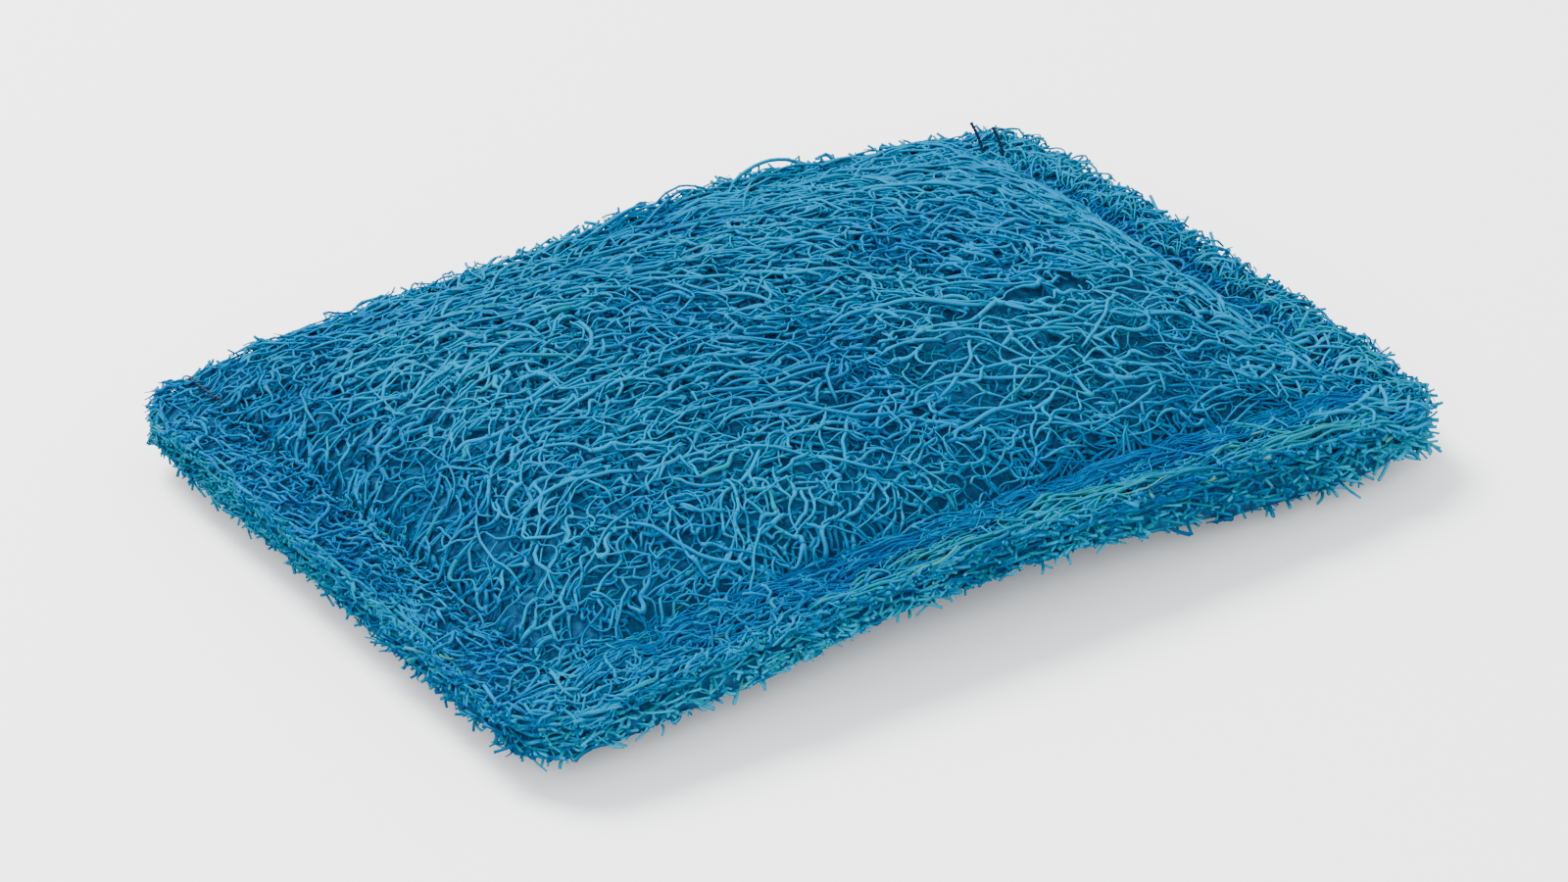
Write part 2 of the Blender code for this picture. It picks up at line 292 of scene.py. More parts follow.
def foam():
    made, shader = material("foam")
    tree = made.node_tree
    pores = texture(tree, "ShaderNodeTexVoronoi", 1400).outputs["Distance"]
    colour = ramp(tree, pores, (0, (0.004, 0.020, 0.050)), (0.6, (0.012, 0.060, 0.120)))
    tree.links.new(colour, shader.inputs["Base Color"])
    bump(tree, shader, pores, 0.0004)
    shader.inputs["Roughness"].default_value = 0.9
    shader.inputs["Specular IOR Level"].default_value = 0.1
    return made


def finish_piece(piece, finish, node):
    piece.data.materials.append(finish)
    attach(piece, "root")
    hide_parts(node)


core = closed_form("foam_slab", across=40, around=96, place=core_place)
finish_piece(core, foam(), "foam_core")


# Hearts of the two sheets. Under the veins that show, each sheet is a dense felt of dark blue fibre, thin in
# the sewn channels and thick in the middle. The nets of veins below lie on it.
HEART_DEPTH = 4.2 * MM  # of the felt's face under the sheet's, in the middle
HEART_SHARE = 0.30  # most of that depth as a share of the sheet's thickness
HEART_OPENED = 0.42  # how much larger that share is where the loofah is open
HEART_INSET = 0.4 * MM  # of the felt's edge from the cut edge
HEART_LEAST = 0.3 * MM  # least thickness of the felt


def waves(x, y, length, seed):
    """Smooth noise from about -1 to 1: six sine waves of about one length in random directions."""
    draw = np.random.default_rng(seed)
    total = 0
    for wave in range(6):
        angle, phase, stretch = draw.uniform((0, 0, 0.7), (2 * np.pi, 2 * np.pi, 1.4))
        turn = 2 * np.pi / (length * stretch)
        total = total + np.sin((x * np.cos(angle) + y * np.sin(angle)) * turn + phase)
    return total / 3


def spot(x, y, middle_x, middle_y, length, width):
    """1 in the middle and less outwards, as a bell along X and along Y. The four sizes are in mm."""
    return np.exp(-(((x - middle_x * MM) / (length * MM)) ** 2) - ((y - middle_y * MM) / (width * MM)) ** 2)


def open_patch(x, y):
    """Above 0 in the front right of the crown, where the veins' meshes are wide."""
    return spot(x, y, 32, -21, 32, 14) + 0.18 * waves(x, y, 16 * MM, 9) - 0.45


def heart_depth(x, y):
    """Depth of the felt's face under the sheet's: a share of the sheet's thickness, larger in the open patch,
    and at most HEART_DEPTH."""
    opened = HEART_OPENED * np.clip(2.5 * open_patch(x, y) + 0.3, 0, 1)
    return np.minimum((HEART_SHARE + opened) * sheet_thickness(x, y), HEART_DEPTH)


def heart_place(upper):
    face, side, rise = (upper_face, 1, CORE_RISE) if upper else (lower_face, -1, -CORE_SINK)

    def place(s, angle):
        """The sheet's outer face sunk by the felt's depth, and on the other side the level where the sheets
        meet, kept clear of the core and of the sunk face."""
        share = (1 - np.abs(1 - s)) ** 0.6
        half_x, half_y = HALF_LENGTH - HEART_INSET, HALF_WIDTH - HEART_INSET
        edge_x, edge_y = rounded_side(angle, half_x, half_y, CORNER_RADIUS)
        x, y = edge_x * share, edge_y * share
        outer = lay(x, y, face, side, heart_depth(x, y))
        gap = 0.2 * MM + 0.4 * MM * share**6
        inner = meeting_plane(x, y) + rise * swell(x, y) + side * gap
        limit = face(x, y) - side * heart_depth(x, y) - side * HEART_LEAST
        inner = side * np.minimum(side * inner, side * limit)
        on_outer = (s < 1) == upper
        return tuple(np.where(on_outer, out, within) for out, within in zip(outer, (x, y, inner)))
    return place


def felt(name, dark, light):
    made, shader = material(name)
    tree = made.node_tree
    streaks = noise(tree, 900, detail=4)
    tree.links.new(ramp(tree, streaks, (0.35, dark), (0.7, light)), shader.inputs["Base Color"])
    bump(tree, shader, streaks, 0.0006)
    shader.inputs["Roughness"].default_value = 0.8
    shader.inputs["Specular IOR Level"].default_value = 0.1
    return made


for half in ("upper", "lower"):
    place = heart_place(half == "upper")
    heart = closed_form(f"{half}_sheet_felt", across=90, around=220, place=place)
    finish = felt(f"{half}_felt", (0.0003, 0.024, 0.073), (0.0004, 0.056, 0.131))
    finish_piece(heart, finish, f"{half}_loofah_sheet")


# Nets of the upper sheet. The loofah's veins are half a millimetre thick and join in smooth webbed forks.
# Where they run with the fruit's flow their meshes are long and narrow, and in the front right they are wide
# and open.
SHOULDER_SPARE = 3.5 * MM  # how much longer the crown's curved face is than its plan, at each seam
SHOULDER_NEAR = 1.5 * MM
DEPTH_SHADE_FALL = 0.18 / MM  # how fast the veins' painted lightness falls with depth: painted shade for the deeper veins
FORK_PAIRS = np.array([(0, 1, 2), (1, 2, 0), (0, 2, 1)])
VEIN_SWING, VEIN_SLANT = 1.35, 0.9
END_DIVE = 0.9 * MM  # how far the ends of a single long vein dive under the others
NET_SPARE = 2 * MM  # how far a net is laid past the pad's outline
ROYAL_DARKENING = 0.22  # how much less light a vein is where it is all royal blue
ROYAL = (0.8, 0.74, 0.98)  # what the dye is multiplied by where it is royal blue
PAINTED_LIGHT_PATCHES = (  # middle in mm, half length, half width, and how much lighter the patch is painted: painted light and shade
    (-60, 6, 6, 32, -0.45), (40, 3, 30, 17, 0.15), (-59, 31, 6, 7, -0.30), (-14, 34, 12, 7, -0.55),
    (8, 17, 8, 6, -0.35), (16, 37, 11, 5, -0.50), (-13, 24, 9, 4, -0.30), (46, 36, 9, 5, -0.25),
    (-13, -12, 12, 10, -0.42), (5, -16, 8, 4, 0.30), (-15, -36, 8, 5, 0.25), (16, -4, 8, 3, -0.25),
    (28, -6, 14, 8, 0.24), (24, 8, 12, 4, -0.30), (50, -14, 9, 9, 0.55), (42, -20, 5, 4, 0.25),
    (40, 3, 6, 3, 0.25), (-44, 8, 7, 14, 0.46), (-37, -36, 9, 4, 0.42), (-53, -36, 6, 4, -0.30),
    (-64, -40, 4, 5, 0.45), (-66, -12, 3, 6, 0.12), (-64, 8, 3, 7, 0.30), (-71, -8, 3, 12, -0.35),
    (-40, -45, 26, 4, -0.70), (10, -42, 26, 4, -0.50), (-44, -51, 28, 2, 0.75), (-5, -50, 7, 2, -0.50),
    (34, -51, 18, 2, -0.60), (54, -42, 8, 5, -0.65), (68, -47, 12, 8, 0.70), (67, 38, 10, 14, 0.55),
    (70, -5, 4, 8, -0.42), (6, 49, 60, 3, 0.40),
)


def past_edge(x, y):
    """Distance outside the cut edge of the pad, less than 0 inside."""
    past_x = np.abs(x) - HALF_LENGTH + CORNER_RADIUS
    past_y = np.abs(y) - HALF_WIDTH + CORNER_RADIUS
    corner = np.hypot(np.maximum(past_x, 0), np.maximum(past_y, 0))
    return corner + np.minimum(np.maximum(past_x, past_y), 0) - CORNER_RADIUS


def past_seam(x, y):
    """Distance outside the rectangle of the seams, less than 0 inside."""
    return np.maximum(np.abs(x) - SEAM_X, np.abs(y) - SEAM_Y)


def over_shoulder(along, limit):
    """Draws plan positions on one axis out to the seams, so that they spread evenly up the steep crown."""
    spare = limit + SHOULDER_SPARE - np.abs(along)
    far = SHOULDER_NEAR + SHOULDER_SPARE
    left = np.where(spare > 0, spare * (spare + SHOULDER_NEAR) / (np.abs(spare) + far), spare)
    return np.sign(along) * (limit - left)


def unit(vectors):
    """Each vector divided by its length."""
    return vectors / (np.linalg.norm(vectors, axis=-1, keepdims=True) + 1e-12)


def net(draw, spacing, stretch, angle, half_x, half_y, jitter):
    """Knots and joins of a net whose meshes are spacing wide and stretch times as long, along angle. Jittered
    points are triangulated, and the middles of triangles that share a side are joined."""
    reach = math.hypot(half_x, half_y)
    rows = np.arange(-reach, reach, spacing)
    columns = np.arange(-reach / stretch, reach / stretch, spacing * 0.866)
    u, v = np.meshgrid(columns, rows, indexing="ij")
    v = v + (np.arange(len(columns)) % 2 * spacing / 2)[:, None]
    points = np.stack([u, v], -1).reshape(-1, 2) + draw.uniform(-jitter, jitter, (u.size, 2)) * spacing
    turn = np.array([[np.cos(angle), np.sin(angle)], [-np.sin(angle), np.cos(angle)]])
    in_plan = points * (stretch, 1) @ turn
    points = points[(np.abs(in_plan[:, 0]) < half_x) & (np.abs(in_plan[:, 1]) < half_y)]
    corners, _, faces = delaunay_2d_cdt([Vector(point) for point in points], [], [], 0, 1e-9)[:3]
    faces = np.array(faces)
    knots = np.array(corners)[faces].mean(1) * (stretch, 1) @ turn
    sides = np.sort(np.concatenate([faces[:, (0, 1)], faces[:, (1, 2)], faces[:, (2, 0)]]), 1)
    owner = np.tile(np.arange(len(faces)), 3)
    order = np.lexsort((sides[:, 1], sides[:, 0]))
    sides, owner = sides[order], owner[order]
    shared = (sides[1:] == sides[:-1]).all(1)
    return knots, np.stack([owner[:-1][shared], owner[1:][shared]], -1)


def veins(knots, joins, rings, straighten):
    """Smooth curves along the joins of a net. At each knot the straightest two of its three veins run through
    on one tangent, and the third merges into them at a slant. straighten pulls each knot to its run's middle,
    and VEIN_SWING lengthens the tangents, so that the veins swing out between their knots. The second result
    is 1 at the ends that merge."""
    source, target = np.concatenate([joins, joins[:, ::-1]]).T
    order = np.argsort(source, kind="stable")
    degree = np.bincount(source, minlength=len(knots))
    forks = np.flatnonzero(degree == 3)
    spokes = order[(np.cumsum(degree) - degree)[forks][:, None] + np.arange(3)]
    way = unit(knots[target] - knots[source])
    bend = np.stack([(way[spokes[:, i]] * way[spokes[:, j]]).sum(-1) for i, j, _ in FORK_PAIRS], -1)
    chosen = np.take_along_axis(spokes, FORK_PAIRS[bend.argmin(1)], 1)
    ahead, behind, branch = chosen.T
    middle = (knots[target[ahead]] + knots[target[behind]]) / 2
    knots = knots.copy()
    knots[forks] += straighten * (middle - knots[forks])
    way = unit(knots[target] - knots[source])
    through = unit(way[ahead] - way[behind])
    leave = way.copy()
    leave[ahead], leave[behind] = through, -through
    side = np.sign((way[branch] * through).sum(-1, keepdims=True))
    leave[branch] = unit(way[branch] + VEIN_SLANT * side * through)
    count = len(joins)
    start, end = knots[joins[:, 0]][:, None], knots[joins[:, 1]][:, None]
    length = VEIN_SWING * np.linalg.norm(end - start, axis=2, keepdims=True)
    t = np.linspace(0, 1, rings)[None, :, None]
    curve = (2 * t**3 - 3 * t**2 + 1) * start + (3 * t**2 - 2 * t**3) * end
    curve += (t**3 - 2 * t**2 + t) * leave[:count][:, None] * length
    curve -= (t**3 - t**2) * leave[count:][:, None] * length
    branches = np.zeros(2 * count)
    branches[branch] = 1
    return curve, np.stack([branches[:count], branches[count:]], -1)


def smooth(t):
    """A step from 0 to 1 that is level at both ends: three times t squared less twice t cubed."""
    return t * t * (3 - 2 * t)


def between(ends, rings):
    """Values that run smoothly from the first of each pair of ends to the second."""
    t = smooth(np.linspace(0, 1, rings))
    return ends[:, :1] * (1 - t) + ends[:, 1:] * t


def fibre_mesh(name, paths, radii, tint, sides):
    """Closed tubes, all with as many rings and sides. Round each point of a path lies a ring of the point's
    radius, square to the path, and an end face closes each tube. tint holds four numbers for each point. Each
    fibre has its own strip of the UV map, with a square at each end of it for the end faces."""
    count, rings = paths.shape[:2]
    along = unit(np.gradient(paths, axis=1))
    upright = np.abs(along[..., 2]).max(1) > 0.85
    reference = np.where(upright[:, None], (1.0, 0.0, 0.0), (0.0, 0.0, 1.0))[:, None]
    right = unit(np.cross(along, reference))
    above = np.cross(right, along)
    turn = np.arange(sides) * 2 * np.pi / sides
    around = right[:, :, None] * np.cos(turn)[:, None] + above[:, :, None] * np.sin(turn)[:, None]
    points = paths[:, :, None] + around * radii[:, :, None, None]

    base = (np.arange(count) * rings * sides)[:, None, None]
    ring = (np.arange(rings - 1) * sides)[None, :, None]
    side = np.arange(sides)[None, None, :]
    a, b = base + ring + side, base + ring + (side + 1) % sides
    walls = np.stack([a, a + sides, b + sides, b], -1).reshape(-1)
    first = (base[:, 0] + np.arange(sides)).reshape(-1)
    last = (base[:, 0] + (rings - 1) * sides + np.arange(sides)[::-1]).reshape(-1)
    corners = np.concatenate([walls, first, last])
    wall_count = count * (rings - 1) * sides
    starts = np.concatenate([np.arange(wall_count) * 4, wall_count * 4 + np.arange(2 * count) * sides])
    mesh = bpy.data.meshes.new(name)
    mesh.vertices.add(points.size // 3)
    mesh.vertices.foreach_set("co", points.astype(np.float32).reshape(-1))
    mesh.loops.add(len(corners))
    mesh.loops.foreach_set("vertex_index", corners.astype(np.int32))
    mesh.polygons.add(len(starts))
    mesh.polygons.foreach_set("loop_start", starts.astype(np.int32))
    mesh.update(calc_edges=True)
    mesh.shade_smooth()
    colours = np.repeat(tint.reshape(-1, 4), sides, axis=0).astype(np.float32)
    mesh.color_attributes.new("fibre", "FLOAT_COLOR", "POINT").data.foreach_set("color", colours.reshape(-1))

    columns = math.ceil(math.sqrt(count / (rings + 1) * sides))
    rows = math.ceil(count / columns)
    cell = np.stack([np.arange(count) % columns / columns, np.arange(count) // columns / rows], -1)
    size = np.array([0.94 / columns / (rings + 1), 0.88 / rows / sides])
    k = np.arange(rings - 1)[:, None] + 1
    m = np.arange(sides)[None, :]
    steps = ((k, m), (k + 1, m), (k + 1, m + 1), (k, m + 1))
    quad = np.stack([np.stack(np.broadcast_arrays(*step), -1) for step in steps], 2)
    circle = 0.5 + 0.4 * np.stack([np.cos(turn), np.sin(turn)], -1)
    layout = np.concatenate([
        (cell[:, None, None, None] + quad * size).reshape(-1, 2),
        (cell[:, None] + circle * size).reshape(-1, 2),
        (cell[:, None] + (circle[::-1] + (rings, 0)) * size).reshape(-1, 2),
    ])
    own_map = mesh.uv_layers.new(name="OFBake")
    own_map.uv.foreach_set("vector", layout.astype(np.float32).reshape(-1))
    mesh.validate()
    return placed(name, mesh)


def scaled_sum(tree, value, scale, start):
    """scale * value + start."""
    made = tree.nodes.new("ShaderNodeMath")
    made.operation = "MULTIPLY_ADD"
    made.inputs[1].default_value = scale
    tree.links.new(value, made.inputs[0])
    tree.links.new(start, made.inputs[2])
    return made.outputs["Value"]


def blend(tree, share, kind, base, other):
    """base where share is 0, and mixed with or multiplied by the colour other where it is 1."""
    made = tree.nodes.new("ShaderNodeMix")
    made.data_type = "RGBA"
    made.blend_type = kind
    made.inputs["B"].default_value = (*other, 1)
    tree.links.new(share, made.inputs["Factor"])
    tree.links.new(base, made.inputs["A"])
    return made.outputs["Result"]


def loofah(name, palette, roughness):
    """Dyed loofah. The fibre attribute's red picks each vein's blue, and patches of cloudy dye change it over
    the pad. Each vein's upward-facing side is painted lighter and its flanks darker: painted light and shade,
    read from the normal. The attribute's green turns a vein teal where it took the dye badly, its blue shows
    the bare straw, and its alpha shifts the dye to royal blue."""
    deep, middle, light, teal, bare = palette
    made, shader = material(name)
    tree = made.node_tree
    fibre = tree.nodes.new("ShaderNodeAttribute")
    fibre.attribute_name = "fibre"
    parts = tree.nodes.new("ShaderNodeSeparateColor")
    tree.links.new(fibre.outputs["Color"], parts.inputs["Color"])
    painted_top_light = tree.nodes.new("ShaderNodeSeparateXYZ")
    tree.links.new(tree.nodes.new("ShaderNodeTexCoord").outputs["Normal"], painted_top_light.inputs["Vector"])
    tone = scaled_sum(tree, noise(tree, 55, detail=3), 0.4, parts.outputs["Red"])
    # Painted light and shade: the side of a vein that faces up is made lighter, its flanks darker.
    tone = scaled_sum(tree, painted_top_light.outputs["Z"], 0.35, tone)
    shift = tree.nodes.new("ShaderNodeMath")
    shift.operation = "SUBTRACT"
    shift.inputs[1].default_value = 0.37
    shift.use_clamp = True
    tree.links.new(tone, shift.inputs[0])
    colour = ramp(tree, shift.outputs["Value"], (0, deep), (0.5, middle), (1, light))
    colour = blend(tree, parts.outputs["Green"], "MIX", colour, teal)
    colour = blend(tree, parts.outputs["Blue"], "MIX", colour, bare)
    colour = blend(tree, fibre.outputs["Alpha"], "MULTIPLY", colour, ROYAL)
    tree.links.new(colour, shader.inputs["Base Color"])
    grain = noise(tree, 5200, detail=2)
    bump(tree, shader, grain, 0.00008)
    rough = tree.nodes.new("ShaderNodeMapRange")
    rough.inputs["To Min"].default_value = roughness
    rough.inputs["To Max"].default_value = roughness + 0.25
    tree.links.new(grain, rough.inputs["Value"])
    tree.links.new(rough.outputs["Result"], shader.inputs["Roughness"])
    shader.inputs["Specular IOR Level"].default_value = 0.015
    shader.inputs["Specular Tint"].default_value = (0.05, 0.8, 1.0, 1)
    return made


def fibre_piece(name, half, paths, radii, tint, sides):
    """A piece of one of the sheets, made of separate veins."""
    piece = fibre_mesh(name, paths, radii, tint, sides)
    finish_piece(piece, finishes[half], f"{half}_loofah_sheet")


def groove_fill(x, y):
    """How far the veins bulge out of the sewn channels and bury the threads. They bridge the back one."""
    ends = np.clip((np.abs(x) - SEAM_X + 6 * MM) / (6 * MM), 0, 1)
    back = (y > 0) * (1 - ends)
    fill = 1.4 * (1 - ends) + 0.8 * ends + 1.2 * back
    return fill * MM * bell(past_seam(x, y) / ((2.4 + 1.6 * back) * MM))


def tints(light, teal, bare, royal, shape):
    """The fibre attribute: lightness, and the teal, bare and royal shares of every point."""
    royal = np.clip(royal, 0, 1)
    light = light - ROYAL_DARKENING * royal
    parts = [np.broadcast_to(np.clip(part, 0, 1), shape) for part in (light, teal, bare, royal)]
    return np.stack(parts, -1)


def painted_channel_shade(x, y):
    """Painted shade in the sewn channels: how much darker they are painted, most on the right and least at
    the back. The whole pad is also painted a little lighter towards the right."""
    depth = np.where(y > 0, 0.05, 0.15) + 0.2 * np.clip((x - SEAM_X + 5 * MM) / (5 * MM), 0, 1)
    return depth * bell(past_seam(x, y) / (2.6 * MM)) - 0.09 * x / HALF_LENGTH


def painted_light_and_shade(x, y):
    """How much lighter or darker the pad is painted in the broad patches listed above: painted light and
    shade, such as the shaded front rim painted lighter and the gappy left shoulder painted darker.
    """
    return sum(amount * spot(x, y, *patch) for *patch, amount in PAINTED_LIGHT_PATCHES)


def royal_share(x, y):
    """Royal blue in the margins and channels, less at the front and back, and in the crown in soft patches
    and at its back right."""
    outside = 1 / (1 + np.exp(-(past_seam(x, y) + 1.0 * MM) / (1.0 * MM)))
    side = np.where(y < -0.9 * SEAM_Y, 0.2, 0.45)
    side = np.where(x > 0.9 * SEAM_X, 0.8, side)
    side = np.where((np.abs(y - HALF_WIDTH) < 14 * MM) & (x > -0.9 * SEAM_X), 0.15, side)
    inside = 0.35 * waves(x, y, 30 * MM, 13) + 0.05 + 0.45 * spot(x, y, 40, 3, 30, 17)
    return outside * side + np.minimum(inside, 0.5)


def chance(draw, count, share, low, high):
    """For a share of the fibres a value from low to high, and 0 for the others."""
    return np.where(draw.random(count) < share, draw.uniform(low, high, count), 0)[:, None]


def net_piece(name, seed, keep, spacing, stretch, angle, depth, relief, radius, tone, rings=5, sides=5,
              straighten=0.35, bend=1.8, curl=0.45, shoulder=True, missing=0.14, in_open=0.0, teal=0.04,
              jitter=0.55, spread=0.2, half="upper"):
    """One net of veins on one of the sheets, where keep(x, y) is above 0. missing is the share of its veins
    that is left out, and in_open the share that is left out where the loofah is open. Loose ends taper and
    dive. spacing, depth, relief, radius, bend and curl are in mm."""
    in_mm = (spacing, depth, relief, radius, bend, curl)
    spacing, depth, relief, radius, bend, curl = (length * MM for length in in_mm)
    draw = np.random.default_rng(seed)
    reach = SHOULDER_SPARE if shoulder else 0
    half_x, half_y = HALF_LENGTH + reach + NET_SPARE, HALF_WIDTH + reach + NET_SPARE
    knots, joins = net(draw, spacing, stretch, math.radians(angle), half_x, half_y, jitter)
    curve, branches = veins(knots, joins, rings, straighten)
    x, y = curve[..., 0], curve[..., 1]
    x, y = x + bend * waves(x, y, 25 * MM, seed + 1), y + bend * waves(x, y, 25 * MM, seed + 2)
    x, y = x + curl * waves(x, y, 5 * MM, seed + 4), y + curl * waves(x, y, 5 * MM, seed + 5)
    if shoulder:
        x = over_shoulder(x, SEAM_X - CHANNEL_HALF)
        y = over_shoulder(y, SEAM_Y - CHANNEL_HALF)
    middle = rings // 2
    kept = (keep(x[:, middle], y[:, middle]) > 0) & (draw.random(len(x)) > missing)
    kept &= (open_patch(x[:, middle], y[:, middle]) < 0) | (draw.random(len(x)) > in_open)
    x, y, joins, branches = x[kept], y[kept], joins[kept], branches[kept]

    loose = np.bincount(joins.ravel(), minlength=len(knots)) < 2
    level = draw.uniform(-1, 1, len(knots)) + 1.3 * loose
    sunk = depth + relief * (0.8 * between(level[joins], rings) + 0.8 * waves(x, y, 11 * MM, seed + 3))
    sag = draw.uniform(-0.3, 0.3, len(x))[:, None] * relief * (1 - np.linspace(-1, 1, rings) ** 2)
    thin = np.clip(sheet_thickness(x, y) / SHEET_THICKNESS, 0.35, 1)
    sunk = np.maximum(sunk + sag, 0) * thin + np.minimum(sunk + sag, 0)
    if half == "upper":
        paths = np.stack(lay(x, y, upper_face, 1, sunk - groove_fill(x, y)), -1)
    else:
        paths = np.stack(lay(x, y, lower_face, -1, sunk), -1)

    own = np.minimum(radius * np.exp(draw.normal(0, 0.34, len(knots))), 1.6 * radius)
    ends = np.where(loose, 0.4, 1)[joins] * own[joins] * np.where(branches > 0, 0.85, 1)
    waist = draw.uniform(0.72, 1.0, len(x))[:, None]
    t = np.linspace(-1, 1, rings) ** 2
    radii = between(ends, rings) * (waist + (1.08 - waist) * t)
    paths[..., 2] = np.maximum(paths[..., 2], 1.1 * radii)

    shade = draw.uniform(-1, 1, len(knots))
    own_shade = draw.uniform(-1, 1, len(x))[:, None]
    # Painted shade: the deeper a vein lies, the darker it is painted.
    light = tone - DEPTH_SHADE_FALL * sunk + 0.18 * between(shade[joins], rings) + spread * own_shade
    # Painted shade in the sewn channels, and broad patches of painted light and shade.
    light = light + 0.08 * waves(x, y, 22 * MM, 11) - painted_channel_shade(x, y) + painted_light_and_shade(x, y)
    teals, bares = chance(draw, len(x), teal, 0.3, 0.9), chance(draw, len(x), 0.001, 0.1, 0.35)
    tint = tints(light, teals, bares, royal_share(x, y), x.shape)
    fibre_piece(name, half, paths, radii, tint, sides)


def flow(x, y):
    """Direction of the veins in degrees from +X. It turns clockwise to the right and back of the crown, and
    anticlockwise at its left end."""
    rightward = smooth(np.clip((x + 55 * MM) / (110 * MM), 0, 1))
    backward = smooth(np.clip((y + 30 * MM) / (40 * MM), 0, 1))
    at_left = np.clip((-42 * MM - x) / (12 * MM), 0, 1)
    return -55 * rightward * backward + 32 * at_left + 8 * waves(x, y, 20 * MM, 3)


def crown(x, y):
    """Above 0 inside the sewn channels."""
    return -past_seam(x, y) - 0.9 * MM


def along_flow(x, y):
    """The flow's direction in radians."""
    return np.radians(flow(x, y))


def lengthwise(x, y):
    """The direction of +X."""
    return 0 * x


def wander(draw, x, y, heading, length, rings, direction, kink):
    """Paths in plan from x, y: each step follows direction(x, y), turned by the fibre's own heading, which
    changes a little at every step."""
    step = length / (rings - 1)
    path = [(x, y)]
    for ring in range(1, rings):
        heading = heading + draw.normal(0, kink, len(x))
        angle = direction(x, y) + heading
        x, y = x + step * np.cos(angle), y + step * np.sin(angle)
        path.append((x, y))
    return np.array(path).transpose(1, 2, 0)


def hair_piece(name, seed, count, low, high, lengths, stray, kink, depth, relief, radius, tone, rings=12,
               sides=5, teal=0.02, bare=0.002, arch=0.0, beyond=0.3, royal=0.0, in_open=0.0, both_ways=True,
               spread=0.2, direction=lengthwise):
    """Single long veins of the upper sheet that start between the plan points low and high and follow
    direction(x, y). Their middles rise by arch, and they reach beyond the cut edge by as much as beyond.
    lengths, depth, relief, radius, arch and beyond are in mm."""
    in_mm = (*lengths, depth, relief, radius, arch, beyond)
    shortest, longest, depth, relief, radius, arch, beyond = (length * MM for length in in_mm)
    draw = np.random.default_rng(seed)
    start_x, start_y = draw.uniform(low, high, (count, 2)).T
    heading = draw.normal(0, stray, count) + np.where(draw.random(count) < 0.5 * both_ways, np.pi, 0)
    length = draw.uniform(shortest, longest, count)
    x, y = wander(draw, start_x, start_y, heading, length, rings, direction, kink)
    inside = (past_edge(x, y) < beyond).all(1)
    inside &= (open_patch(x, y).max(1) < 0) | (draw.random(count) > in_open)
    x, y = x[inside], y[inside]
    count = len(x)
    t = np.linspace(-1, 1, rings)
    level = between(draw.uniform(-1, 1, (count, 2)), rings)
    sunk = depth + relief * (level + waves(x, y, 9 * MM, seed + 1))
    sunk = sunk - arch * draw.uniform(0.2, 1, count)[:, None] * (1 - t**2)
    sunk = sunk + END_DIVE * t**6
    paths = np.stack(lay(x, y, upper_face, 1, sunk - groove_fill(x, y)), -1)
    own = radius * np.exp(np.clip(draw.normal(0, 0.3, count), -1, 0.4))[:, None]
    radii = own * (1 + 0.15 * between(draw.uniform(-1, 1, (count, 2)), rings)) * (1 - 0.3 * t**8)
    # Painted shade: the deeper a hair lies, the darker it is painted.
    light = tone + spread * draw.uniform(-1, 1, count)[:, None] - DEPTH_SHADE_FALL * sunk + painted_light_and_shade(x, y)
    light = light + 0.14 * waves(x, y, 7 * MM, seed + 2)
    teals, bares = chance(draw, count, teal, 0.4, 1.0), chance(draw, count, bare, 0.1, 0.45)
    tint = tints(light, teals, bares, royal + royal_share(x, y), x.shape)
    fibre_piece(name, "upper", paths, radii, tint, sides)


UPPER_DYES = (  # deep, middle and light blue, teal, and bare straw
    (0.0003, 0.052, 0.142), (0.0003, 0.090, 0.196), (0.0003, 0.138, 0.262),
    (0.0006, 0.135, 0.170), (0.100, 0.210, 0.080),
)
finishes = {"upper": loofah("upper_loofah", UPPER_DYES, roughness=0.34)}


def all_of(*fields):
    """A field that is above 0 where every one of the fields is."""
    return lambda x, y: np.minimum.reduce([field(x, y) for field in fields])


def left_shoulder(x, y):
    """Above 0 in the left end of the crown."""
    return -44 * MM - x + 4 * MM * waves(x, y, 14 * MM, 15)


def front_shoulder(x, y):
    """Above 0 on the crown's front foot, left of the open patch."""
    foot = -SEAM_Y + 13 * MM - y + 3 * MM * waves(x, y, 12 * MM, 16)
    return np.minimum(foot, 18 * MM - np.abs(x + 27 * MM))


def closed(x, y):
    """Above 0 in the crown, away from the open patch, the left shoulder and the front one."""
    other = np.maximum(open_patch(x, y), np.maximum(left_shoulder(x, y), front_shoulder(x, y)))
    return np.minimum(crown(x, y), -other)


def holed(x, y):
    """Above 0 outside many small holes, which go down to the felt."""
    return 0.5 - waves(x, y, 7 * MM, 48)


def flow_band(low, high):
    """A field that is above 0 where the flow's direction is from low to high."""
    return lambda x, y: np.minimum(flow(x, y) - low, high - flow(x, y))


